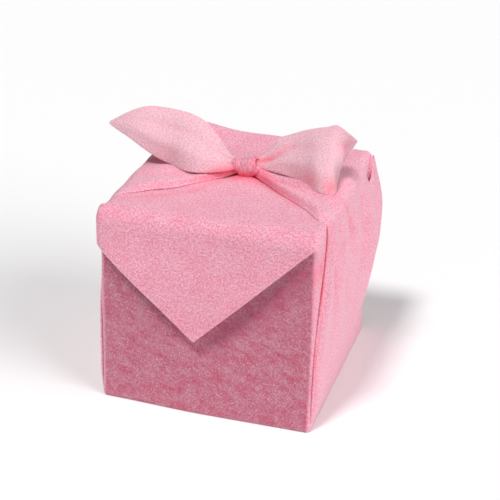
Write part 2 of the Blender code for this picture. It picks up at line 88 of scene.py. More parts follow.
# The pocket at each back top corner, between a wing's rear fold and the side wall's rim. The
# top's cloth goes down into it with one crease.
POCKET_FROM = 0.050
POCKET_TIP_Y = 0.071
POCKET_TIP_Z = 0.1680
POCKET_RIM = 0.1850
POCKET_HEAD_Y = 0.0925  # the side wall's rim is full height behind this
POCKET_POWER = 1.5
POCKET_LIP = 0.0922
POCKET_REACH = 0.1250
POCKET_CREASE_Y = 0.0905
POCKET_CREASE_SLANT = 0.6  # how much further forward the crease lies for each metre down
POCKET_CREASE_HALF = 2.0 * MM
POCKET_CREASE_DEPTH = 1.7 * MM
POCKET_FADE = 3.5 * MM  # behind the crease the cloth lies against the wall within this

BELLY_RIGHT = 12.0 * MM
BELLY_LEFT = 6.0 * MM
BELLY_WIDTH = 0.042
BELLY_FOOT = 0.030
BELLY_RISE = 0.080
BELLY_HEAD = 0.210
BELLY_FALL = 0.080
DRAW_IN = 2.0 * MM
DRAW_HEIGHT = 0.028
RUMPLE_EDGE = 0.086
RUMPLE_FADE = 0.010
RUMPLE_FOOT = 0.020

# How far the foot stands out at the front and at the left, and in at the right
FOOT_FRONT = 4.2 * MM
FOOT_LEFT = 4.8 * MM
FOOT_RIGHT = -2.2 * MM
FOOT_TOP = 0.150  # it grows from this height down
FOOT_POWER = 1.5

# How the top rises to its back edge: two rounded humps, in the far quarter of the depth
HUMP_LEFT = 10.5 * MM
HUMP_LEFT_X = -0.075
HUMP_LEFT_HALF = 0.035
HUMP_MIDDLE = 4.5 * MM
HUMP_MIDDLE_HALF = 0.050
HUMP_FROM = 0.050
HUMP_RUN = 0.036
HUMP_FOOT = 0.150
HUMP_RISE = 0.036

# Slow unevenness of a layer: turns for each metre along it and across it, start and height
Wave = namedtuple("Wave", "along across start height")
WALL_WAVES = rows(Wave, 1, (
    (5.0, 3.6, 0.6, 0.0005),
    (-2.7, 6.2, 0.0, 0.0005),
    (11.0, -7.0, 2.1, 0.0002),
))
FLAP_WAVES = rows(Wave, 1, (
    (6.0, 4.3, 0.4, 0.0004),
    (-3.5, 9.0, 1.7, 0.0003),
    (15.0, 6.0, 4.0, 0.00015),
))
FLAP_WAVE_EDGE = 0.012  # they fade out within this from the sides,
FLAP_WAVE_BACK = 0.086  # and towards the back edge
FLAP_WAVE_BACK_FADE = 0.010

# The near corner, under the far one
NEAR_TOP = 0.1873
NEAR_BEND = 6.0 * MM
NEAR_HALF_WIDTH = 0.0925
NEAR_FLAT = ((-0.0862, 0.0955), (-0.040, 0.0955), (0.020, 0.088), (0.084, 0.040))
NEAR_STEP = 6.0 * MM
NEAR_STRIPS = 30
NEAR_DROP_FROM = 0.0880  # its edges turn down over the sides from here
NEAR_DROP = 4.2 * MM
NEAR_DROP_RUN = 7.5 * MM

# The far corner, from the back wall over the top and down the front to its tip
TIP_X = -0.0095
TIP_Z = 0.0765
TIP_SLOPE = {-1: 0.910, 1: 0.965}
TIP_BLUNT = 0.8 * MM
TIP_BLEND = 0.090
FLAP_FACE = -0.1019
FLAP_BEND = 14.2 * MM
BACK_BEND = 7.2 * MM
FLAP_STAND = 3.0 * MM
FLAP_CURL = 2.6 * MM
FLAP_HANG = 0.060  # it stands off the front from this far below its bend
LIP_START = 0.0936  # where it turns down over the sides
LIP_BEND = 5.0 * MM
SLACK_START = 0.0866  # the same between the left wing and the front edge, where it lies slack
SLACK_BEND = 12.0 * MM
SLACK_FROM = -0.0900
SLACK_FADE = 2.0 * MM
LIP_LEAST = 12.0 * MM
LIP_SHARE = 0.2
CORNER_REACH = 0.1036
WRAP_SLOPE = 1.2
SIDE_REACH = 0.0905
COVER_FROM = 0.035  # it covers the corners behind the wings
COVER_RISE = 0.015
WALL_REACH = 0.0925
BACK_REACH = 0.1012  # it covers the back corners only this far
BACK_REACH_RISE = 8.0 * MM
BACK_REACH_FADE = 1.2 * MM
REACH_FROM = {-1: -0.0640, 1: -0.0550}  # for each side
FLAP_STEP = 2.7 * MM
FLAP_STRIPS = 34  # from the middle to each lip
LIP_STRIPS = 10
KNOT_SWELL = 4.5 * MM  # it bulges up under the knot
KNOT_SWELL_HALF = 0.014
BACK_FINE_FROM = 0.058  # the rows lie closer behind this
BACK_FINE_STEP = 1.3 * MM

# The wings
WING_STAND = 1.95 * MM  # middle of the outer layer over the walls and the top
EDGE_STAND = 1.40 * MM  # at the folded edges
WING_BEND = {-1: 13.0 * MM, 1: 8.35 * MM}  # radius of the path over a side's top edge
WING_FOLD = 0.6 * MM  # radius of the folded edges
WING_RETURN = 0.046  # width of the layer folded in behind each edge
RETURN_SHARE = 0.44  # and the most of the wing's width
BASE_WRAP = 55  # degrees that a wing goes round the base's rounding
BASE_SINK = 0.25 * MM
BASE_RISE = 0.026
EDGE_ROLL = 0.08
EDGE_LIFT = 0.06  # share of the lift left at the edge
NECK_LIFT = 0.50  # and where the wing stands high, at the knot
NECK_FROM = 3.0 * MM
NECK_RISE = 6.5 * MM
WING_STRIPS = 60
RETURN_STRIPS = 8
FOLD_STEPS = 5
WING_ROWS = 104

# In millimetres: height on the side or distance from the middle on the top, y of the front
# and rear folds, lift off what it lies on, bow between its folds, and height of the folds
WingRow = namedtuple("WingRow", "place front back lift crown fold")
RIGHT_SIDE = rows(WingRow, MM, (
    (8.5, -94.5, 89.5, 0.2, 0, 0),
    (20, -95, 90, 0.6, 0, 0.1),
    (40, -95.5, 90, 1.4, 0.4, 0.3),
    (70, -95, 87, 1.8, 1, 0.8),
    (100, -92, 83, 2, 1.6, 2),
    (130, -82, 78.5, 2.2, 1.8, 2.6),
    (155, -72, 73, 2, 1.4, 2.6),
    (170, -68.5, 66.5, 1.4, 1, 2.2),
    (180.8, -68, 59.5, 1.2, 0.8, 1.6),
))
RIGHT_TOP = rows(WingRow, MM, (
    (88, -68, 55, 1.4, 1.2, 1.4),
    (80, -59, 53, 1.6, 2, 1.6),
    (65, -45.5, 44, 1.8, 3, 1.7),
    (50, -33, 31, 2, 3, 1.7),
    (37, -21.5, 20, 2.4, 2.6, 1.3),
    (27, -13, 12, 4, 2, 0.8),
    (19, -8.5, 8, 7, 1.5, 0.4),
    (12, -6, 6, 9.5, 1, 0.2),
))
LEFT_SIDE = rows(WingRow, MM, (
    (8.5, -94.5, 89.5, 0.2, 0, 0),
    (20, -95, 90.5, 0.8, 0, 0.1),
    (40, -95.5, 90.5, 2, 0.4, 0.2),
    (70, -95.5, 88.5, 2.4, 0.8, 0.6),
    (100, -93.5, 84.5, 2.6, 1.2, 1.2),
    (130, -89, 79.5, 2.2, 1.6, 1.6),
    (155, -84.5, 74.5, 1.2, 1, 1.2),
    (176.5, -78.5, 68, 0.2, 0.6, 0.6),
))
LEFT_TOP = rows(WingRow, MM, (
    (83.5, -66.5, 55.5, 0.4, 0.8, 0.8),
    (76, -62.5, 51, 1, 1.6, 1.4),
    (65, -53.5, 44, 1.8, 2.8, 1.7),
    (48, -44, 31, 2, 3, 1.7),
    (33, -29, 19, 2.4, 2.8, 1.3),
    (20, -17, 12, 3.6, 2, 0.8),
    (9, -9.5, 8, 7, 1.5, 0.4),
    (1, -6, 6, 9.5, 1, 0.2),
))

# Folds that run the length of a wing, from its front fold (0) to its rear one (1)
Fold = namedtuple("Fold", "across half_width height")
RIGHT_FOLDS = rows(Fold, 1, (
    (0.07, 0.060, 0.70),
    (0.20, 0.050, -0.55),
    (0.34, 0.065, 0.85),
    (0.49, 0.055, -0.60),
    (0.63, 0.060, 0.70),
    (0.77, 0.050, -0.50),
    (0.91, 0.060, 0.80),
))
LEFT_FOLDS = rows(Fold, 1, (
    (0.08, 0.070, 0.60),
    (0.24, 0.060, -0.60),
    (0.40, 0.070, 0.80),
    (0.56, 0.055, -0.50),
    (0.70, 0.060, 0.60),
    (0.84, 0.055, -0.45),
    (0.94, 0.050, 0.60),
))

# Single creases, listed one by one: from and to as (distance up the wing, y), half-width, height at
# the start and at the end, in millimetres. Troughs are negative.
Crease = namedtuple("Crease", "start end half_width height end_height")
RIGHT_CREASES = rows(Crease, MM, (
    ((187, -24), (159, -3), 1.7, -2.6, -2.6),
    ((195, 43), (150, 60), 8, -2, -1.2),
    ((159, -3), (130, 8), 3.4, -2.4, -0.4),
    ((186, -14), (140, 14), 4.2, 1.6, 0.6),
    ((180, -34), (150, -14), 4.2, 1.4, 0.4),
    ((162, -50), (80, -47), 4.5, -2.6, -0.8),
    ((176, -54), (125, -60), 2, -1, -0.4),
    ((170, -36), (105, -30), 2.4, -1.2, -0.4),
    ((165, 22), (95, 24), 3, -1.4, -0.4),
    ((168, 40), (90, 46), 3, -1.2, -0.6),
    ((150, -26), (75, 2), 5, -2, -0.8),
    ((120, 50), (45, 18), 7, -2.2, -1.4),
    ((244, 1), (272, 1), 1.6, -1, -1.6),
    ((218, -22), (270, -3), 1.7, -0.4, -1.4),
    ((205, -6), (268, 3), 2, 0.6, 1),
    ((30, -30), (12, -60), 3, -0.5, -0.3),
))
LEFT_CREASES = rows(Crease, MM, (
    ((200, 26), (172, 4), 2, -1.8, -0.6),
    ((160, -30), (90, -40), 6, -1.2, -0.4),
    ((150, 20), (60, 30), 6, -1.2, -0.4),
    ((246, -12), (282, -3), 1.8, -0.6, -1.6),
    ((225, 2), (280, 0), 2.2, 0.6, 1),
    ((232, 10), (280, 3), 1.6, -0.6, -1.4),
    ((205, -30), (262, -12), 2.6, -0.3, -1),
))
GATHERS = 5  # close gathers across a wing where it enters the knot
GATHER_FROM = 0.235
GATHER_LENGTH = 0.040
GATHER_HEIGHT = 0.7 * MM

# The tails, from the knot to their corners, in millimetres
TailRow = namedtuple("TailRow", "upper lower crown fold")
LEFT_TAIL = rows(TailRow, MM, (
    ((2, 5, 207), (2, -4, 203), 1, 0),
    ((-10, 8.5, 205), (-9.5, -11.5, 200.5), 3, 0.4),
    ((-24.5, 12, 219.5), (-24, -18.5, 199.3), 4, 1),
    ((-36.5, 15, 231), (-36, -21.5, 199.2), 5, 1.8),
    ((-50.8, 17, 237), (-49, -19.5, 199.2), 6, 2.2),
    ((-66.5, 18, 239.2), (-64, -12, 200.6), 6.5, 2.2),
    ((-79.9, 18, 240.2), (-76, -11, 204.5), 6, 2),
    ((-89.9, 16, 240.8), (-88.5, -9.5, 210.7), 5, 1.4),
    ((-99.8, 13, 239.2), (-101.2, -7, 217.3), 3.6, 1),
    ((-110, 9, 235.2), (-113, -3, 221.5), 2, 0.4),
    ((-125.8, 3.5, 226.5), (-125.8, 2.2, 225.7), 0, 0),
))
RIGHT_TAIL = rows(TailRow, MM, (
    ((12, 5, 206.5), (12, -4, 203.5), 1, 0),
    ((20, 10, 213), (27, -3, 201.2), 2.4, 0.4),
    ((29, 17, 223), (41, -5.5, 200.3), 3.4, 1),
    ((40, 20, 227.5), (53, -8.5, 199), 4.6, 1.8),
    ((52, 21.5, 232), (65.8, -15.5, 198.2), 5.6, 2.2),
    ((64, 22, 235.5), (79.5, -27.5, 197.7), 6, 2.2),
    ((74, 22, 238), (91.5, -24.5, 196.5), 5.6, 2),
    ((82.8, 22, 239.9), (89.4, -5.5, 199), 4.4, 1.6),
    ((92.5, 17, 236.5), (88, 9.2, 205), 2.8, 1),
    ((98.5, 13, 234.5), (94.9, 9.8, 219), 1.2, 0.4),
    ((102.5, 10.5, 233), (101.8, 9.5, 231.8), 0, 0),
))
TAIL_FOLDS = (Fold(0.30, 0.12, 1.0), Fold(0.62, 0.12, -1.0))

# The tails' own creases, in metres: from and to as (distance from the knot, share of the
# width up)
LEFT_TAIL_CREASES = rows(Crease, 1, (
    ((0.004, 0.70), (0.024, 0.62), 0.0016, -0.0012, -0.0003),
    ((0.004, 0.25), (0.030, 0.16), 0.0018, -0.0010, -0.0003),
    ((0.020, 0.20), (0.075, 0.12), 0.0050, 0.0012, 0.0002),
    ((0.010, 0.45), (0.060, 0.52), 0.0040, 0.0010, 0.0002),
))
RIGHT_TAIL_CREASES = rows(Crease, 1, (
    ((0.004, 0.46), (0.015, 0.43), 0.0013, -0.0012, -0.0013),
    ((0.015, 0.43), (0.037, 0.69), 0.0017, -0.0014, -0.0008),
    ((0.037, 0.69), (0.055, 0.82), 0.0034, -0.0008, -0.0001),
    ((0.004, 0.22), (0.030, 0.30), 0.0024, 0.0009, 0.0002),
    ((0.010, 0.75), (0.030, 0.88), 0.0016, -0.0005, -0.0001),
    ((0.040, 0.14), (0.080, 0.20), 0.0060, 0.0012, 0.0003),
))
TAIL_GATHERS = 3
TAIL_GATHER_HEIGHT = 1.0 * MM
TAIL_GATHER_LENGTH = 0.030
TAIL_FOLD = 0.7 * MM
TAIL_RETURN = 0.92  # share of the tail's width that its back layer covers
TAIL_STRIPS = 26
TAIL_ROWS = 60

# The knot: loops of gathered cloth round the necks of the wings and tails
KNOT = Vector((0.0070, -0.0010, 0.2008))
Loop = namedtuple("Loop", "offset lean width thickness high deep pleats pleat_depth seed")
KNOT_LOOPS = (
    Loop((0.0014, -0.0004, 0.0), (0, -30, -8), 0.0200, 0.0060, 0.0062, 0.0064, 4.0, 0.0008, 3.1),
    Loop((-0.0090, 0.0, 0.0004), (0, -8, 16), 0.0095, 0.0044, 0.0056, 0.0060, 7.0, 0.0010, 7.7),
    Loop((0.0102, 0.0, -0.0016), (0, -36, 10), 0.0060, 0.0040, 0.0042, 0.0046, 2.0, 0.0006, 1.9),
)

LOOP_POINTS = 48  # round a loop, and round its section
SECTION_POINTS = 40
LOOP_SOCKETS = {
    "Vector": ("Offset", "Lean"),
    "Float": ("Width", "Thickness", "High", "Deep", "Pleats", "Pleat depth", "Seed"),
    "Material": ("Cloth",),
}

SHARP_DEGREES = 50  # the cloth shades as one surface round bends that are less sharp

# How hollow a bend is full depth, in turns for each metre of radius, and how far it spreads
CREASE_BEND = 130.0
CREASE_SPREAD = 3
CREASE_GAIN = 1.6

# Painted light: how far each part fades from the body's pink to the tails' paler, lit pink
LIGHT_PALENESS = {"right wing": 0.08, "left wing": 0.20, "tail": 1.0, "cut edge": 0.9}

# Painted shade: coral where shade falls under the knot, the bands, the tails and the flap, and in
# the creases and the pocket, with the red of light that passes from layer to layer: along these
# lines, in millimetres, and how strongly at each end
ShadeLine = namedtuple("ShadeLine", "start end radius strength end_strength")
PAINTED_SHADE_LINES = rows(ShadeLine, (MM, MM, MM, 1, 1), (
    # painted shade under the knot
    ((-4, -9, 195.5), (17, -6, 195.5), 5.5, 1.0, 1.0),
    ((-4, -10, 190.5), (22, -10, 190.5), 5, 0.4, 0.4),
    ((-3, -4, 198), (-16, -15, 197), 6.5, 1.0, 0.8),
    ((-16, -15, 197), (-40, -38, 195.5), 5.5, 0.8, 0.1),
    ((-4, -8, 197), (-32, -46, 192.5), 3.2, 0.9, 0.6),
    ((-32, -46, 192.5), (-83, -77, 192.5), 3, 0.6, 0.4),
    ((18, -4, 196), (40, -20, 191.5), 4.8, 0.9, 0.7),
    ((40, -20, 191.5), (70, -50, 191.5), 5, 0.7, 0.2),
    ((56, -3, 202), (73, -16, 202), 6.5, 0.2, 0.6),
    ((73, -16, 202), (89, -20, 200), 6.5, 0.6, 0.5),
    ((89, -22, 200), (90, 2, 206), 8, 0.6, 0.4),
    ((16, 0, 204.7), (34, 6, 212.5), 4, 0.8, 0.5),
    ((34, 6, 212.5), (45, 11.5, 219.5), 5, 0.5, 0.1),
    ((96.5, 87, 187), (96, 75, 165), 2.4, 0.1, 0.35),
    ((102, -23, 187), (103, -2, 163), 2, 0.7, 0.7),
    ((103.5, -2, 163), (103.5, 5, 145), 3.4, 0.8, 0.1),
    ((97, -95.5, 8), (97.8, -95.5, 75), 2, 0.6, 0.7),
    ((97.8, -95.5, 75), (97.8, -82.5, 130), 2, 0.7, 0.7),
    ((97.8, -82.5, 130), (97.8, -68, 172), 2, 0.7, 0.6),
    ((97.8, -68, 172), (97.5, -68, 186), 2, 0.6, 0.3),
    ((101.5, -50, 158), (101, -47, 100), 4.2, 0.40, 0.12),
    # painted shadow of the left tail on the left band
    ((-70, 5, 194.5), (-90, 12, 194.5), 18, 0.30, 0.30),
    # painted shadow of the flap's right edge on the front panel
    ((6, -86, 74), (88, -86, 152), 11, 1.4, 1.4),
))

# ---- shapes in numbers


def bell(x):
    return np.exp(-np.square(x))


def ease(x):
    """0 below 0, 1 above 1, and smooth between them."""
    x = np.clip(x, 0.0, 1.0)
    return x * x * (3 - 2 * x)


def between(a, b, share):
    return a + (b - a) * share


def settled(points):
    """The wrap's points, with the foot that stands out and the humps of the back edge."""
    x, y, z = points.T
    low = np.maximum(1 - z / FOOT_TOP, 0) ** FOOT_POWER
    front = FOOT_FRONT * np.minimum(y, 0) * ease((x + HALF) / HALF)
    aside = FOOT_RIGHT * np.maximum(x, 0) + FOOT_LEFT * np.minimum(x, 0)
    hump = HUMP_LEFT * bell((x - HUMP_LEFT_X) / HUMP_LEFT_HALF)
    hump = hump + HUMP_MIDDLE * bell(x / HUMP_MIDDLE_HALF)
    hump = hump * ease((y - HUMP_FROM) / HUMP_RUN) * ease((z - HUMP_FOOT) / HUMP_RISE)
    return np.column_stack([x + aside / HALF * low, y + front / HALF * low, z + hump])


def unit(vectors):
    return vectors / np.maximum(np.linalg.norm(vectors, axis=-1, keepdims=True), 1e-12)


def smooth_rows(places, rows, at):
    """A table's rows read between its places on a smooth curve."""
    places, rows = np.asarray(places, float), np.asarray(rows, float)
    slopes = np.gradient(rows, places, axis=0)
    k = np.clip(np.searchsorted(places, at) - 1, 0, len(places) - 2)
    step = (places[k + 1] - places[k])[:, None]
    t = (np.asarray(at) - places[k])[:, None] / step
    start = (1 + 2 * t) * (1 - t) ** 2 * rows[k] + t * (1 - t) ** 2 * step * slopes[k]
    end = t * t * (3 - 2 * t) * rows[k + 1] + t * t * (t - 1) * step * slopes[k + 1]
    return start + end


def waves_at(along, across, waves):
    total = 0.0
    for wave in waves:
        turns = wave.along * along + wave.across * across
        total = total + wave.height * np.sin(2 * math.pi * turns + wave.start)
    return total


def fold_height(across, folds):
    """How high a piece's folds stand across it, for each metre of its fold."""
    return sum(fold.height * bell((across - fold.across) / fold.half_width) for fold in folds)


def crease_height(along, across, creases, wide=1.0):
    """The height of the single creases at places on a sheet that is so wide there."""
    total = np.zeros(np.broadcast(along, across, wide).shape)
    for crease in creases:
        start, end = np.array(crease.start), np.array(crease.end)
        run, run_across = end[0] - start[0], (end[1] - start[1]) * wide
        ahead, aside = along - start[0], (across - start[1]) * wide
        share = (ahead * run + aside * run_across) / (run**2 + run_across**2)
        share = np.clip(share, 0, 1)
        away = np.hypot(ahead - share * run, aside - share * run_across)
        height = between(crease.height, crease.end_height, share)
        total += height * bell(away / crease.half_width)
    return total


def swell(x, y, z):
    """How far the wrap's cloth stands out of its flat faces at a place on them."""
    free = ease((BELLY_HEAD - z) / BELLY_FALL)
    back = bell((y - HALF) / BELLY_WIDTH)
    right = bell((x - HALF) / BELLY_WIDTH) * back
    left = bell((x + HALF) / BELLY_WIDTH) * back
    high = free * ease((z - BELLY_FOOT) / BELLY_RISE)
    belly = high * (BELLY_RIGHT * right + BELLY_LEFT * left)
    drawn = DRAW_IN * right * bell((z - DRAW_HEIGHT) / (DRAW_HEIGHT / 2))
    panel = ease((np.abs(y) - RUMPLE_EDGE) / RUMPLE_FADE) * ease((z - BASE_ROUND) / RUMPLE_FOOT)
    return belly - drawn + panel * free * waves_at(z, x, WALL_WAVES)


# ---- sheets of cloth

# One closed skin: its points, faces, each face corner's place on the flat cloth, and 1 at each
# point of the cut edge
Skin = namedtuple("Skin", "points faces flat rim")


def grid_normals(grid):
    along, across = np.gradient(grid, axis=(0, 1))
    return unit(np.cross(along, across))


def flat_places(grid):
    """Each point's place on the flat cloth: along the middle column, and across from it."""
    middle = grid.shape[1] // 2
    steps = np.linalg.norm(np.diff(grid[:, middle], axis=0), axis=1)
    along = np.concatenate([[0], np.cumsum(steps)])
    steps = np.linalg.norm(np.diff(grid, axis=1), axis=2)
    across = np.concatenate([np.zeros((len(grid), 1)), np.cumsum(steps, axis=1)], axis=1)
    across -= across[:, middle : middle + 1]
    return np.stack([across, np.broadcast_to(along[:, None], across.shape)], axis=-1)


def sheet(grid):
    """A closed sheet on a grid of middle points, half the cloth's thickness to each side."""
    high, wide = grid.shape[:2]
    normals = grid_normals(grid)
    points = [grid + normals * CLOTH / 2, grid - normals * CLOTH / 2]
    points = np.concatenate(points).reshape(-1, 3)
    index = np.arange(high * wide).reshape(high, wide)
    upper = [index[:-1, :-1], index[1:, :-1], index[1:, 1:], index[:-1, 1:]]
    upper = np.stack(upper, axis=-1).reshape(-1, 4)
    lower = upper[:, ::-1] + high * wide
    rim = [index[:, 0], index[-1, 1:], index[-2::-1, -1], index[0, -2:0:-1]]
    rim = np.concatenate(rim)
    after = np.roll(rim, -1)
    sides = np.stack([rim, rim + high * wide, after + high * wide, after], axis=-1)
    faces = np.concatenate([upper, lower, sides])
    flat = flat_places(grid).reshape(-1, 2)[faces % (high * wide)]
    cut = np.zeros(2 * high * wide)
    cut[np.concatenate([rim, rim + high * wide])] = 1.0
    return Skin(points, faces, flat, cut)


def fold_in(grid, normals, radius, width, strips, ends=(True, True)):
    """Folds a grid's first and last columns in behind it: a round edge, then a return layer.

    radius and width have one number for each row.
    """
    steps = np.linalg.norm(np.diff(grid, axis=1), axis=2)
    places = np.concatenate([np.zeros((len(grid), 1)), np.cumsum(steps, axis=1)], axis=1)
    shares = np.linspace(0, 1, strips + 1)[1:]
    parts = [grid]
    for last, wanted in zip((False, True), ends):
        if not wanted:
            continue
        edge = -1 if last else 0
        inner = -2 if last else 1
        out = unit(grid[:, edge] - grid[:, inner])
        up = normals[:, edge]
        centre = grid[:, edge] - up * radius[:, None]
        turns = np.linspace(0, math.pi, FOLD_STEPS + 2)[1:]
        bend = [centre + (up * math.cos(a) + out * math.sin(a)) * radius[:, None] for a in turns]
        back = []
        for share in shares:
            line = []
            for row, at, normal, reach in zip(grid, places, normals, width):
                spot = at[-1] - reach * share if last else reach * share
                point = [np.interp(spot, at, row[:, axis]) for axis in range(3)]
                facing = [np.interp(spot, at, normal[:, axis]) for axis in range(3)]
                line.append((point, facing))
            line = np.array(line)
            back.append(line[:, 0] - unit(line[:, 1]) * 2 * radius[:, None])
        added = np.stack(bend + back, axis=1)
        parts = parts + [added] if last else [added[:, ::-1]] + parts
    return np.concatenate(parts, axis=1)


def ring_skin(loops, panel):
    """A closed skin over loops of points, with a cap on the first and the last loop."""
    count = loops.shape[1]
    index = np.arange(len(loops) * count).reshape(-1, count)
    after = np.roll(index, -1, axis=1)
    faces = np.stack([index[:-1], after[:-1], after[1:], index[1:]], axis=-1).reshape(-1, 4)
    steps = np.linalg.norm(np.diff(loops, axis=1, append=loops[:, :1]), axis=2)
    round_it = np.cumsum(steps, axis=1)
    before = round_it - steps
    rise = np.linalg.norm(np.diff(loops, axis=0), axis=2).mean(axis=1)
    height = np.concatenate([[0], np.cumsum(rise)])
    tall = np.broadcast_to(height[:, None], before.shape)
    corners = [(before, tall, 0), (round_it, tall, 0), (round_it, tall, 1), (before, tall, 1)]
    last = len(loops) - 1
    flat = [np.stack([u[k : last + k], v[k : last + k]], axis=-1) for u, v, k in corners]
    flat = np.stack(flat, axis=2).reshape(-1, 4, 2)
    caps = [index[0, ::-1].tolist(), index[-1].tolist()]
    points = loops.reshape(-1, 3)
    flat = np.concatenate([flat.reshape(-1, 2)] + [points[cap][:, :2] for cap in caps])
    return points, faces.tolist() + caps, flat, panel.reshape(-1), np.zeros(len(points))


# ---- the walls and the base


def plan_ring():
    """Points round the square plan for a rounding of 1, and the outward direction at each.

    A point is straight + rounding * out, so that the rounding can change with the height.
    """
    straight, out = [], []
    for side in range(4):
        turn = math.radians(90 * side)
        shares = np.linspace(-1, 1, WALL_STRIPS + 1)
        for share in shares[:-1]:
            straight.append((turn, share))
            out.append(turn)
        for step in range(CORNER_STRIPS):
            straight.append((turn, 1.0))
            out.append(turn + math.radians(90 * step / CORNER_STRIPS))
    return np.array(straight), np.array(out)


def rim_height(x, y):
    """The height of the walls' top rim at a place on the plan."""
    low = np.where(y < 0, FRONT_RIM, BACK_RIM)
    side = np.where(x < 0, SIDE_RIM[-1], SIDE_RIM[1])
    side = between(side, POCKET_TIP_Z, ease((y - POCKET_FROM) / (POCKET_TIP_Y - POCKET_FROM)))
    rise = np.clip((y - POCKET_TIP_Y) / (POCKET_HEAD_Y - POCKET_TIP_Y), 0, 1)
    side = side + (POCKET_RIM - POCKET_TIP_Z) * rise**POCKET_POWER
    return between(low, side, ease((np.abs(x) - HALF + EDGE_ROUND_HIGH) / EDGE_ROUND_HIGH))


def wall_loop(ring, height, inset, share, inwards):
    """One loop of the walls, at a height or at a share of the way up to the rim."""
    straight, turns = ring
    rounding = between(EDGE_ROUND_LOW, EDGE_ROUND_HIGH, share)
    flat_half = HALF - rounding
    aside = flat_half * straight[:, 1]
    cosine, sine = np.cos(straight[:, 0]), np.sin(straight[:, 0])
    out = np.column_stack([np.cos(turns), np.sin(turns)])
    place = np.column_stack(
        [flat_half * cosine - aside * sine, flat_half * sine + aside * cosine]
    )
    place = place + out * rounding
    x, y = place[:, 0], place[:, 1]
    z = between(BASE_ROUND, rim_height(x, y), share) if share else np.full(len(x), height)
    back = (y > HALF - EDGE_ROUND_HIGH) & (np.abs(x) < HALF - EDGE_ROUND_HIGH / 2)
    tuck = TUCK * ease((z - BACK_SEAM) / (BACK_RIM - BACK_SEAM)) * back
    away = swell(x, y, z) - inset - inwards - tuck
    return np.column_stack([place + out * away[:, None], z])


def walls():
    """Base, front, back and side walls of the wrap, open at the top under the corners."""
    ring = plan_ring()
    levels = []
    for degrees in range(0, 91, 15):
        angle = math.radians(degrees)
        inset = BASE_ROUND * (1 - math.sin(angle))
        levels.append((BASE_ROUND * (1 - math.cos(angle)), inset, 0.0))
    levels += [(0.0, 0.0, (k + 1) / WALL_LEVELS) for k in range(WALL_LEVELS)]
    outer = [wall_loop(ring, *level, 0.0) for level in levels]
    inner = [wall_loop(ring, *level, CLOTH) for level in levels[4:]]
    base, floor = outer[0], inner[0].copy()
    floor[:, 2] = CLOTH
    floor[:, :2] = base[:, :2]
    shrink = np.linspace(1, 0.04, FLOOR_RINGS)[1:]
    under = [base * (share, share, 1) for share in shrink]
    above = [floor * (share, share, 1) for share in shrink]
    loops = np.array(under[::-1] + outer + inner[::-1] + [floor] + above)
    # the front panel's mask: where its painted shade goes
    front = ease((-loops[..., 1] - PANEL_FROM) / PANEL_FADE)
    return ring_skin(loops, front * ease((PANEL_HALF - np.abs(loops[..., 0])) / PANEL_SIDE_FADE))


# ---- the near and far corners


def arc(centre, radius, start, end, step):
    """Points (y, z) on an arc, and the outward directions, from +Y towards +Z."""
    count = max(3, round(abs(math.radians(end - start)) * radius / step))
    angles = np.radians(np.linspace(start, end, count + 1))
    out = np.column_stack([np.cos(angles), np.sin(angles)])
    return np.array(centre) + out * radius, out


def near_corner():
    """The near corner of the cloth: out of the front wall's rim and back under the far one."""
    middle = -(HALF - CLOTH)
    bend, _ = arc((middle + NEAR_BEND, NEAR_TOP - NEAR_BEND), NEAR_BEND, 180, 90, 1.5 * MM)
    profile = [(middle, FRONT_RIM - 0.004, NEAR_HALF_WIDTH)]
    halves = np.linspace(NEAR_HALF_WIDTH, NEAR_FLAT[0][1], len(bend))
    profile += [(y, z, half) for (y, z), half in zip(bend, halves)]
    y = np.arange(NEAR_FLAT[0][0], NEAR_FLAT[-1][0], NEAR_STEP)
    half = np.interp(y, *np.array(NEAR_FLAT).T)
    profile += [(a, NEAR_TOP, b) for a, b in zip(y, half)]
    y, z, half = np.array(profile).T[..., None]
    x = half * np.linspace(-1, 1, NEAR_STRIPS + 1)
    drop = NEAR_DROP * (np.maximum(np.abs(x) - NEAR_DROP_FROM, 0) / NEAR_DROP_RUN) ** 2
    return sheet(np.stack([x, y + 0 * x, z - drop], axis=-1))


def flap_profile():
    """The far corner's middle line: points (y, z), outward directions, distances to the tip."""
    top, back, face = TOP - CLOTH / 2, HALF - CLOTH / 2, FLAP_FACE + CLOTH / 2
    over_back, over_front = BACK_BEND - CLOTH / 2, FLAP_BEND - CLOTH / 2
    parts = [(np.array([[back, BACK_SEAM], [back, (BACK_SEAM + top - over_back) / 2]]), (1, 0))]
    parts.append(arc((back - over_back, top - over_back), over_back, 0, 90, FLAP_STEP / 2))
    y = np.arange(back - over_back - BACK_FINE_STEP, BACK_FINE_FROM, -BACK_FINE_STEP)
    y = np.append(y, np.arange(y[-1] - FLAP_STEP, face + over_front, -FLAP_STEP))
    parts.append((np.column_stack([y, np.full(len(y), top)]), (0, 1)))
    parts.append(arc((face + over_front, top - over_front), over_front, 90, 180, FLAP_STEP))
    z = np.arange(top - over_front - FLAP_STEP, TIP_Z + FLAP_STEP / 2, -FLAP_STEP)
    z = np.append(z, [TIP_Z + 2 * TIP_BLUNT, TIP_Z + TIP_BLUNT])
    parts.append((np.column_stack([np.full(len(z), face), z]), (-1, 0)))
    points = np.concatenate([part[0] for part in parts])
    out = np.concatenate([np.broadcast_to(part[1], part[0].shape) for part in parts])
    steps = np.linalg.norm(np.diff(points, axis=0), axis=1)
    to_tip = TIP_BLUNT + np.append(np.cumsum(steps[::-1])[::-1], 0)
    return points, out, to_tip


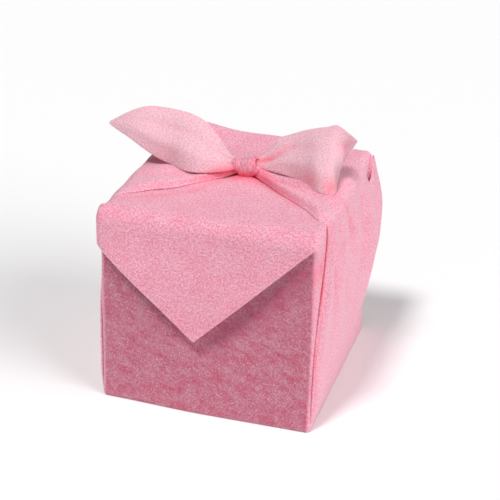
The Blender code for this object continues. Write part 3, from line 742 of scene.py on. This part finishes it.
def flap_reach(y, z, to_tip, side):
    """How far the far corner's cloth reaches to one side, measured flat from the middle."""
    if y < 0:
        forward = (REACH_FROM[side] - y) / (REACH_FROM[side] - FLAP_FACE - FLAP_BEND)
        reach = between(SIDE_REACH, CORNER_REACH, min(max(forward, 0.0), 1.0))
        reach += WRAP_SLOPE * max(TOP - FLAP_BEND - z, 0.0)
        return min(side * TIP_X + to_tip / TIP_SLOPE[side], reach)
    covered = between(SIDE_REACH, POCKET_REACH, ease((y - COVER_FROM) / COVER_RISE))
    reach = between(WALL_REACH, BACK_REACH, ease((z - BACK_SEAM) / BACK_REACH_RISE))
    return between(reach, covered, ease((z - TOP + CLOTH / 2) / BACK_REACH_FADE + 1))


def side_bend(y, side):
    """Where the far corner turns down over a side's top edge, and with what radius."""
    slack = ease((y - SLACK_FROM) / SLACK_FADE) if side < 0 and y < 0 else 0.0
    if y > 0:
        return between(LIP_START, POCKET_LIP, ease(y / COVER_FROM)), LIP_BEND
    return between(LIP_START, SLACK_START, slack), between(LIP_BEND, SLACK_BEND, slack)


def turned_down(flat, start, bend, y, side):
    """(distance from the middle, depth) of cloth that turns down over a side's top edge."""
    angle = np.clip((flat - start) / bend, 0, math.pi / 2)
    past = np.maximum(flat - start - bend * math.pi / 2, 0)
    across = np.minimum(flat, start) + bend * np.sin(angle)
    depth = bend * (1 - np.cos(angle)) + past
    crease_y = POCKET_CREASE_Y - POCKET_CREASE_SLANT * depth
    creased = bell((y - crease_y) / POCKET_CREASE_HALF) * ease(depth / bend)
    against = ease((y - crease_y) / POCKET_FADE + 0.5) * ease(depth / bend)
    wall = HALF - CLOTH - start - bend + swell(side * HALF, y, TOP - depth)
    return across - POCKET_CREASE_DEPTH * creased + against * wall, depth


def far_corner():
    """The far corner: over the back edge, the top and the front edge, and down to its tip."""
    grid = []
    for (y, z), (out_y, out_z), to_tip in zip(*flap_profile()):
        centre = TIP_X * (1 - ease(to_tip / TIP_BLEND)) if y < 0 else 0.0
        hang = ease((TOP - FLAP_BEND - z) / FLAP_HANG) if y < 0 else 0.0
        line = []
        for side in (-1, 1):
            reach = flap_reach(y, z, to_tip, side)
            start, bend = side_bend(y, side)
            least = min(LIP_LEAST, LIP_SHARE * (reach - side * centre))
            lip = max(reach - start, least)
            flat = np.linspace(side * centre, reach - lip, FLAP_STRIPS + 1)
            flat = np.append(flat, reach - lip + lip * np.linspace(0, 1, LIP_STRIPS + 1)[1:])
            across, depth = turned_down(flat, start, bend, y, side)
            stand = hang * (FLAP_STAND + FLAP_CURL * ease(across / HALF))
            free = ease((HALF - across) / FLAP_WAVE_EDGE)
            free = free * ease((FLAP_WAVE_BACK - y) / FLAP_WAVE_BACK_FADE)
            stand = stand + free * waves_at(to_tip, side * across, FLAP_WAVES) - depth
            from_knot = np.hypot(side * across - KNOT.x, y - KNOT.y)
            stand = stand + out_z * KNOT_SWELL * bell(from_knot / KNOT_SWELL_HALF)
            half = np.column_stack([side * across, y + out_y * stand, z + out_z * stand])
            line.append(half[:0:-1] if side < 0 else half)
        grid.append(np.concatenate(line))
    return sheet(np.array(grid))


# ---- the wings


def wing_path(along, radius):
    """The way up a side and over the top, by the distance from the top of the base's
    rounding: points (x, z) on the wrap's face, and the outward directions."""
    rise = TOP - radius - BASE_ROUND
    bend = radius * math.pi / 2
    angle = np.clip(along / BASE_ROUND, -math.pi / 2, 0)
    angle = angle + np.clip((along - rise) / radius, 0, math.pi / 2)
    out = np.column_stack([np.cos(angle), np.sin(angle)])
    low, turn, top = along < 0, along > rise, along > rise + bend
    x = np.where(low, HALF - BASE_ROUND + BASE_ROUND * out[:, 0], HALF)
    x = np.where(turn, HALF - radius + radius * out[:, 0], x)
    x = np.where(top, HALF - radius - (along - rise - bend), x)
    z = np.where(low, BASE_ROUND + BASE_ROUND * out[:, 1], BASE_ROUND + along)
    z = np.where(turn, TOP - radius + radius * out[:, 1], z)
    z = np.where(top, TOP, z)
    return x, z, out


def wing(side, side_rows, top_rows, folds, creases):
    """A wing: up one side of the wrap, over the edge and in to the knot, folded in at both
    of its edges."""
    bend = WING_BEND[side]
    over_edge = TOP - bend - BASE_ROUND + bend * math.pi / 2
    places = [row.place - BASE_ROUND for row in side_rows]
    places += [over_edge + HALF - bend - row.place for row in top_rows]
    table = [row[1:] for row in side_rows + top_rows]
    start = -math.radians(BASE_WRAP) * BASE_ROUND
    along = between(start, places[-1], np.linspace(0, 1, WING_ROWS + 1))
    front, back, lift, crown, fold = smooth_rows(places, table, np.maximum(along, places[0])).T
    x, z, out = wing_path(along, bend)
    across = np.linspace(0, 1, WING_STRIPS + 1)
    y = between((front + WING_FOLD)[:, None], (back - WING_FOLD)[:, None], across)
    edge = ease(np.minimum(across, 1 - across) / EDGE_ROLL)
    edge_lift = between(EDGE_LIFT, NECK_LIFT, ease((lift - NECK_FROM) / NECK_RISE))
    height = lift[:, None] * between(edge_lift[:, None], 1.0, edge)
    height = height + crown[:, None] * 4 * across * (1 - across)
    height = height + fold[:, None] * edge * fold_height(across, folds)
    height = height + edge * crease_height(along[:, None], y, creases)
    knotward = ease((along - GATHER_FROM) / GATHER_LENGTH)[:, None]
    gather = np.abs(np.sin(math.pi * GATHERS * across + 0.6)) - 0.6
    height = height + knotward * edge * GATHER_HEIGHT * gather
    based = ease((along - start) / BASE_RISE)[:, None]
    stand = between(EDGE_STAND, WING_STAND, edge)
    height = based * (stand + BASE_SINK + height) - BASE_SINK
    height = height + swell(side * HALF, y, z[:, None]) * np.maximum(out[:, :1], 0)
    grid_x = side * (x[:, None] + out[:, :1] * height)
    grid = np.stack([grid_x, y, z[:, None] + out[:, 1:] * height], axis=-1)
    normals = grid_normals(grid) * (-side)
    radius = WING_FOLD * based[:, 0]
    width = np.minimum(WING_RETURN, RETURN_SHARE * (back - front))
    return sheet(fold_in(grid, normals, radius, width, RETURN_STRIPS))


# ---- tails and knot


def tail(table, creases):
    """A tail: a corner of the cloth with its lower edge folded in behind it."""
    middles = np.array([(np.array(row.upper) + row.lower) / 2 for row in table])
    places = np.append(0, np.cumsum(np.linalg.norm(np.diff(middles, axis=0), axis=1)))
    numbers = [(*row.upper, *row.lower, row.crown, row.fold) for row in table]
    at = np.linspace(0, places[-1], TAIL_ROWS + 1)
    numbers = smooth_rows(places, numbers, at)
    upper, lower, crown, fold = numbers[:, :3], numbers[:, 3:6], numbers[:, 6:7], numbers[:, 7:8]
    width = upper - lower
    out = unit(np.column_stack([0 * at, -width[:, 2], width[:, 1]]))
    across = np.linspace(0, 1, TAIL_STRIPS + 1)
    stand = crown * 4 * across * (1 - across) + fold * fold_height(across, TAIL_FOLDS)
    gathered = 1 - ease(at / TAIL_GATHER_LENGTH)[:, None]
    pleats = np.abs(np.sin(math.pi * TAIL_GATHERS * across + 0.4)) - 0.6
    stand = stand + gathered * TAIL_GATHER_HEIGHT * pleats
    wide = np.linalg.norm(width, axis=1)
    stand = stand + crease_height(at[:, None], across, creases, wide[:, None])
    grid = lower[:, None] + width[:, None] * across[:, None] + out[:, None] * stand[..., None]
    normals = np.broadcast_to(out[:, None], grid.shape)
    radius = np.minimum(TAIL_FOLD, wide / 4)
    return sheet(
        fold_in(grid, normals, radius, wide * TAIL_RETURN, TAIL_STRIPS // 2, ends=(True, False))
    )


def loop_tree():
    """A closed loop of gathered cloth: a flat pleated section swept round an oval."""
    tree = bpy.data.node_groups.new("gathered_loop", "GeometryNodeTree")
    tree.interface.new_socket("Geometry", in_out="OUTPUT", socket_type="NodeSocketGeometry")
    for kind, names in LOOP_SOCKETS.items():
        for name in names:
            tree.interface.new_socket(name, in_out="INPUT", socket_type="NodeSocket" + kind)
    given = tree.nodes.new("NodeGroupInput").outputs

    def circle(points):
        sizes = {"Resolution": points, "Radius": 1.0}
        return put(tree, "GeometryNodeCurvePrimitiveCircle", sizes).outputs[0]

    def oval(across, up):
        return put(tree, "ShaderNodeCombineXYZ", (across, up, 1.0)).outputs[0]

    def moved(geometry, **how):
        return put(tree, "GeometryNodeTransform", {"Geometry": geometry, **how}).outputs[0]

    def half(socket):
        return math_node(tree, "MULTIPLY", socket, 0.5)

    path = moved(circle(LOOP_POINTS), Scale=oval(given["Deep"], given["High"]))
    place = put(tree, "GeometryNodeInputPosition").outputs[0]
    section = {"Geometry": circle(SECTION_POINTS)}
    section = put(tree, "GeometryNodeCaptureAttribute", section, ("VECTOR", place)).outputs
    flat = moved(section[0], Scale=oval(half(given["Thickness"]), half(given["Width"])))
    swept = {"Curve": path, "Profile Curve": flat}
    swept = put(tree, "GeometryNodeCurveToMesh", swept).outputs[0]
    # Uneven pleats round the section: round ridges with sharp valleys between them.
    pleats = {"Vector": section[1], "W": given["Seed"], "Scale": given["Pleats"], "Detail": 0.0}
    pleats = put(tree, "ShaderNodeTexNoise", pleats, noise_dimensions="4D").outputs[0]
    pleats = math_node(tree, "ABSOLUTE", math_node(tree, "SUBTRACT", pleats, 0.5))
    pleats = math_node(tree, "MULTIPLY_ADD", pleats, 6.0, -1.0)
    push = {
        0: put(tree, "GeometryNodeInputNormal").outputs[0],
        "Scale": math_node(tree, "MULTIPLY", pleats, given["Pleat depth"]),
    }
    push = put(tree, "ShaderNodeVectorMath", push, operation="SCALE").outputs[0]
    shaped = put(tree, "GeometryNodeSetPosition", {"Geometry": swept, "Offset": push}).outputs[0]
    upright = moved(shaped, Rotation=(math.pi / 2, 0, math.pi / 2))
    set_in = moved(upright, Rotation=given["Lean"], Translation=given["Offset"])
    real = put(tree, "GeometryNodeRealizeInstances", {"Geometry": set_in}).outputs[0]
    dressed = {"Geometry": real, "Material": given["Cloth"]}
    dressed = put(tree, "GeometryNodeSetMaterial", dressed).outputs[0]
    tree.links.new(dressed, tree.nodes.new("NodeGroupOutput").inputs[0])
    return tree


def knot_loop(tree, loop, cloth):
    """One loop of the knot: points, faces, flat places, and no panel or paleness."""
    holder = add_object("knot_loop", bpy.data.meshes.new("knot_loop"))
    modifier = holder.modifiers.new("loop", "NODES")
    modifier.node_group = tree
    values = {name.replace("_", " ").capitalize(): size for name, size in loop._asdict().items()}
    values["Offset"] = tuple(KNOT + Vector(loop.offset))
    values["Lean"] = tuple(math.radians(degrees) for degrees in loop.lean)
    values["Cloth"] = cloth
    for item in tree.interface.items_tree:
        if item.in_out == "INPUT":
            modifier[item.identifier] = values[item.name]
    graph = bpy.context.evaluated_depsgraph_get()
    mesh = bpy.data.meshes.new_from_object(holder.evaluated_get(graph))
    points = np.array([v.co for v in mesh.vertices])
    faces = [list(p.vertices) for p in mesh.polygons]
    bpy.data.objects.remove(holder)
    none = np.zeros(len(points))
    return points, faces, points[np.concatenate(faces)][:, :2], none, none


# ---- one cloth


def add_object(name, data):
    obj = bpy.data.objects.new(name, data)
    bpy.context.scene.collection.objects.link(obj)
    return obj


def mark(mesh, name, values):
    """Keeps a number for each point of the cloth under a name."""
    mesh.attributes.new(name, "FLOAT", "POINT").data.foreach_set("value", values)


def whole_cloth(cloth):
    """Joins the layers to one mesh object with its flat places and masks."""
    skins = (
        (near_corner(), 0.0),
        (far_corner(), 0.0),
        (wing(1, RIGHT_SIDE, RIGHT_TOP, RIGHT_FOLDS, RIGHT_CREASES), LIGHT_PALENESS["right wing"]),
        (wing(-1, LEFT_SIDE, LEFT_TOP, LEFT_FOLDS, LEFT_CREASES), LIGHT_PALENESS["left wing"]),
        (tail(LEFT_TAIL, LEFT_TAIL_CREASES), LIGHT_PALENESS["tail"]),
        (tail(RIGHT_TAIL, RIGHT_TAIL_CREASES), LIGHT_PALENESS["tail"]),
    )
    parts = []
    for skin, paleness in skins:
        # painted highlight: the front cut edges are made pale, for the light rim along them
        pale = np.maximum(paleness, LIGHT_PALENESS["cut edge"] * skin.rim * (skin.points[:, 1] < 0))
        flat = skin.flat.reshape(-1, 2)
        parts.append((skin.points, skin.faces.tolist(), flat, np.zeros(len(pale)), pale))
    parts.append(walls())
    tree = loop_tree()
    parts += [knot_loop(tree, loop, cloth) for loop in KNOT_LOOPS]
    faces, shift = [], 0
    for part in parts:
        faces += [[k + shift for k in face] for face in part[1]]
        shift += len(part[0])
    points, flat, panel, pale = (np.concatenate([part[k] for part in parts]) for k in (0, 2, 3, 4))
    mesh = bpy.data.meshes.new("furoshiki_sheet")
    mesh.from_pydata(settled(points).tolist(), [], faces)
    mesh.uv_layers.new(name="flat_cloth").data.foreach_set("uv", flat.ravel())
    mark(mesh, "shaded_front_panel", panel)
    mark(mesh, "painted_light_paleness", pale)
    work = bmesh.new()
    work.from_mesh(mesh)
    bmesh.ops.recalc_face_normals(work, faces=work.faces)
    work.to_mesh(mesh)
    work.free()
    mesh.materials.append(cloth)
    mesh.shade_smooth()
    mesh.set_sharp_from_angle(angle=math.radians(SHARP_DEGREES))
    mark_creases(mesh)
    mark_painted_shade(mesh)
    return add_object("furoshiki_sheet", mesh)


def read(data, name, kind=float, wide=3):
    """A mesh's numbers of one name, as rows."""
    numbers = np.empty(len(data) * wide, kind)
    data.foreach_get(name, numbers)
    return numbers.reshape(-1, wide)


def mark_creases(mesh):
    """Marks how deep in a crease each point lies, from how the cloth bends round it."""
    places, normals = read(mesh.vertices, "co"), read(mesh.vertex_normals, "vector")
    a, b = read(mesh.edges, "vertices", int, 2).T
    run = places[b] - places[a]
    square = np.maximum((run**2).sum(axis=1), 1e-12)
    hollow, degree = np.zeros((2, len(places)))
    np.add.at(hollow, a, (normals[a] * run).sum(axis=1) / square)
    np.add.at(hollow, b, -(normals[b] * run).sum(axis=1) / square)
    np.add.at(degree, a, 1)
    np.add.at(degree, b, 1)
    depth = np.clip(hollow / np.maximum(degree, 1) / CREASE_BEND, 0, 1)
    for _ in range(CREASE_SPREAD):
        total = depth.copy()
        np.add.at(total, a, depth[b])
        np.add.at(total, b, depth[a])
        depth = total / (degree + 1)
    # the material paints coral shade where this mask is high
    mark(mesh, "crease_depth", np.clip(depth * CREASE_GAIN, 0, 1))


def mark_painted_shade(mesh):
    """Marks how strongly each point is painted with coral shade."""
    places = read(mesh.vertices, "co")
    strength = np.zeros(len(places))
    for painted_shade in PAINTED_SHADE_LINES:
        run = np.subtract(painted_shade.end, painted_shade.start)
        ahead = places - painted_shade.start
        share = np.clip(ahead @ run / (run @ run), 0, 1)
        away = np.linalg.norm(ahead - share[:, None] * run, axis=1)
        level = between(painted_shade.strength, painted_shade.end_strength, share)
        strength = np.maximum(strength, level * bell(away / painted_shade.radius))
    mark(mesh, "painted_shade", strength)


# ---- materials


def put(tree, kind, inputs=(), capture=None, **settings):
    """Adds a node. Its inputs, by name or in order, are plain values or nodes' outputs."""
    made = tree.nodes.new(kind)
    for name, value in settings.items():
        setattr(made, name, value)
    if capture:
        made.capture_items.new(capture[0], "captured")
        tree.links.new(capture[1], made.inputs[1])
    for name, value in inputs.items() if isinstance(inputs, dict) else enumerate(inputs):
        if isinstance(value, bpy.types.NodeSocket):
            tree.links.new(value, made.inputs[name])
        else:
            made.inputs[name].default_value = value
    return made


def new_group(name, inputs, outputs):
    """A shader node group: inputs by name with their values, None for a vector, and outputs."""
    tree = bpy.data.node_groups.new(name, "ShaderNodeTree")
    for label, value in inputs.items():
        kind = "NodeSocketVector" if value is None else "NodeSocketFloat"
        socket = tree.interface.new_socket(label, in_out="INPUT", socket_type=kind)
        if value is not None:
            socket.default_value = value
    for label in outputs:
        tree.interface.new_socket(label, in_out="OUTPUT", socket_type="NodeSocketFloat")
    return tree, tree.nodes.new("NodeGroupInput").outputs, tree.nodes.new("NodeGroupOutput").inputs


def new_material(name, values):
    """A material with plain values on its shader's own sockets."""
    material = bpy.data.materials.new(name)
    material.use_nodes = True
    shader = material.node_tree.nodes["Principled BSDF"]
    for socket, value in values.items():
        shader.inputs[socket].default_value = value
    return material, shader


def math_node(tree, operation, a, b=0.0, c=0.0):
    return put(tree, "ShaderNodeMath", (a, b, c), operation=operation).outputs[0]


def spread(tree, value, low, high):
    """0 at low, 1 at high, smooth between them."""
    ends = {"Value": value, "From Min": low, "From Max": high}
    node = put(tree, "ShaderNodeMapRange", ends, interpolation_type="SMOOTHSTEP")
    return node.outputs["Result"]


def mixed(tree, share, a, b, blend="MIX"):
    node = put(tree, "ShaderNodeMix", {0: share, 6: a, 7: b}, data_type="RGBA", blend_type=blend)
    return node.outputs[2]


def turned_cloth(tree, places, angle):
    """Places on the flat cloth, turned in its plane."""
    turn = {"Vector": places, "Angle": angle}
    return put(tree, "ShaderNodeVectorRotate", turn, rotation_type="Z_AXIS").outputs[0]


def joined(tree, operation, a, b):
    return put(tree, "ShaderNodeVectorMath", (a, b), operation=operation).outputs[0]


def cloudy(tree, places, size, detail, roughness, low, high):
    """Noise with clouds of this size, from 0 at low to 1 at high."""
    scale = math_node(tree, "DIVIDE", 1.0, size)
    noise = {"Vector": places, "Scale": scale, "Detail": detail, "Roughness": roughness}
    return spread(tree, put(tree, "ShaderNodeTexNoise", noise).outputs[0], low, high)


def fibres_group():
    """Non-woven cloth up close: flecks, and single fibres that lie two ways."""
    tree, given, result = new_group(
        "non_woven_fibres",
        {"Flat cloth": None, "Fleck size": 0.0012, "Fibre length": 0.012},
        ("Flecks", "Fibres"),
    )
    places = given["Flat cloth"]
    flecks = cloudy(tree, places, given["Fleck size"], 3.0, 0.75, 0.33, 0.67)
    strands = []
    for degrees, seed in ((38, 0.0), (-52, 7.3)):
        thin = joined(
            tree, "MULTIPLY", turned_cloth(tree, places, math.radians(degrees)), (1.0, 9.0, 1.0)
        )
        shifted = joined(tree, "ADD", thin, (seed, seed, 0))
        strands.append(cloudy(tree, shifted, given["Fibre length"], 3.0, 0.7, 0.54, 0.68))
    tree.links.new(flecks, result["Flecks"])
    tree.links.new(math_node(tree, "MAXIMUM", *strands), result["Fibres"])
    return tree


def mottle_group():
    """Slow clouds of thicker and thinner cloth, a little longer one way."""
    tree, given, result = new_group(
        "mottle",
        {"Flat cloth": None, "Patch size": 0.02, "Stretch": 1.5, "Slant": 0.4},
        ("Mask",),
    )
    shape = put(tree, "ShaderNodeCombineXYZ", (1.0, given["Stretch"], 1.0)).outputs[0]
    turned = turned_cloth(tree, given["Flat cloth"], given["Slant"])
    stretched = joined(tree, "MULTIPLY", turned, shape)
    mask = cloudy(tree, stretched, given["Patch size"], 4.0, 0.62, 0.28, 0.72)
    tree.links.new(mask, result["Mask"])
    return tree


LIGHT_PINK = (0.93, 0.415, 0.53, 1)
PALE_PINK = (0.94, 0.50, 0.61, 1)
# the tails' paler pink is painted light
LIT_TAIL_PINK = (0.86, 0.55, 0.615, 1)
# painted shade in creases and along the shade lines
SHADE_CORAL = (0.86, 0.11, 0.18, 1)
SHADE_CRIMSON = (0.34, 0.04, 0.11, 1)  # the same painted shade on the front panel
# the front panel's painted shade: a deeper rose, mottled between these two
SHADED_PANEL_ROSE = (0.60, 0.27, 0.35, 1)
SHADED_PANEL_DEEP = (0.57, 0.12, 0.21, 1)
FLECK_DARK = (0.71, 0.44, 0.52, 1)
FLECK_WHITE = (0.97, 0.80, 0.84, 1)
SOFT_CLOTH = {
    "Roughness": 0.85,
    "Specular IOR Level": 0.25,
    "Sheen Weight": 0.25,
    "Sheen Roughness": 0.5,
    "Subsurface Weight": 0.4,
    "Subsurface Radius": (1.0, 0.30, 0.40),
    "Subsurface Scale": 0.0015,
}


def cloth_material():
    """Pink non-woven cloth, with painted light and shade: paler as painted light on the tails, a
    little on the wings and along the front cut edges; a deeper rose as painted shade on the front
    panel; and coral as painted shade in its creases and along the shade lines."""
    material, shader = new_material("pink_cloth", SOFT_CLOTH)
    tree = material.node_tree
    flat = put(tree, "ShaderNodeUVMap", uv_map="flat_cloth").outputs[0]
    panel, crease, painted_shade, pale = (
        put(tree, "ShaderNodeAttribute", attribute_name=name).outputs["Fac"]
        for name in ("shaded_front_panel", "crease_depth", "painted_shade", "painted_light_paleness")
    )

    def effect(group, **values):
        values = {name.replace("_", " "): value for name, value in values.items()}
        values["Flat cloth"] = flat
        return put(tree, "ShaderNodeGroup", values, node_tree=group).outputs

    fibres = effect(fibres_group(), Fleck_size=0.0018, Fibre_length=0.006)
    mottle = mottle_group()
    clouds = effect(mottle, Patch_size=0.022, Stretch=1.3)
    streaks = effect(mottle, Patch_size=0.013, Stretch=1.2, Slant=0.5)
    colour = mixed(tree, clouds["Mask"], LIGHT_PINK, PALE_PINK)
    # painted light: paler on the tails, a little on the wings, and along the front cut edges
    colour = mixed(tree, pale, colour, LIT_TAIL_PINK)
    # painted shade: a deeper rose over the front panel
    deep = mixed(tree, streaks["Mask"], SHADED_PANEL_DEEP, SHADED_PANEL_ROSE)
    colour = mixed(tree, panel, colour, deep)
    speckle = math_node(tree, "MULTIPLY_ADD", pale, -0.30, 1.0)
    darker = mixed(tree, speckle, colour, FLECK_DARK, "MULTIPLY")
    colour = mixed(tree, fibres["Flecks"], darker, colour)
    white = math_node(tree, "MULTIPLY_ADD", panel, 0.15, 0.20)
    white = math_node(tree, "MULTIPLY", fibres["Fibres"], white)
    colour = mixed(tree, white, colour, FLECK_WHITE)
    # painted shade: coral in the creases and along the shade lines, crimson on the front panel
    shade_share = math_node(tree, "MAXIMUM", math_node(tree, "MULTIPLY", crease, 0.4), painted_shade)
    colour = mixed(tree, shade_share, colour, mixed(tree, panel, SHADE_CORAL, SHADE_CRIMSON))
    tree.links.new(colour, shader.inputs["Base Color"])
    height = math_node(tree, "ADD", fibres["Fibres"], fibres["Flecks"])
    bump = put(tree, "ShaderNodeBump", {"Strength": 0.35, "Distance": 0.0002, "Height": height})
    tree.links.new(bump.outputs[0], shader.inputs["Normal"])
    return material


# ---- floor, light and camera

CAMERA_AT = (0.3551, -1.0910, 0.6894)
CAMERA_LOOKS_AT = (0.0083, 0.0, 0.1181)
LENS = 100.97
FLOOR_HALF = 4
SKY_STRENGTH = 0.20


def floor():
    mesh = bpy.data.meshes.new("floor")
    corners = [(x * FLOOR_HALF, y * FLOOR_HALF, 0) for x, y in ((-1, -1), (1, -1), (1, 1), (-1, 1))]
    mesh.from_pydata(corners, [], [(0, 1, 2, 3)])
    pale = {"Base Color": (0.93, 0.93, 0.93, 1), "Roughness": 0.8}
    mesh.materials.append(new_material("pale_floor", pale)[0])
    add_object("floor", mesh)


def soft_sun(name, towards, spread_degrees, strength):
    """Even light that comes from one side, with soft shadows."""
    data = bpy.data.lights.new(name, "SUN")
    data.angle = math.radians(spread_degrees)
    data.energy = strength
    add_object(name, data).rotation_euler = Vector(towards).to_track_quat("Z", "Y").to_euler()


def studio():
    soft_sun("overhead", (-0.17, -0.40, 0.90), 12, 1.95)
    soft_sun("right_side", (0.82, -0.25, 0.50), 40, 2.05)
    world = bpy.data.worlds.new("studio")
    world.use_nodes = True
    sky = world.node_tree.nodes["Background"].inputs
    sky[0].default_value, sky[1].default_value = (1.0, 1.0, 1.0, 1), SKY_STRENGTH
    bpy.context.scene.world = world
    bpy.context.scene.view_settings.view_transform = "Standard"


def camera():
    data = bpy.data.cameras.new("camera")
    data.lens = LENS
    data.sensor_width = 36
    obj = add_object("camera", data)
    obj.location = CAMERA_AT
    looks = Vector(CAMERA_LOOKS_AT) - Vector(CAMERA_AT)
    obj.rotation_euler = looks.to_track_quat("-Z", "Y").to_euler()
    bpy.context.scene.camera = obj


def main():
    camera()
    studio()
    floor()
    cloth = whole_cloth(cloth_material())
    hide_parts("furoshiki_cloth")
    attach(cloth, "root")


main()
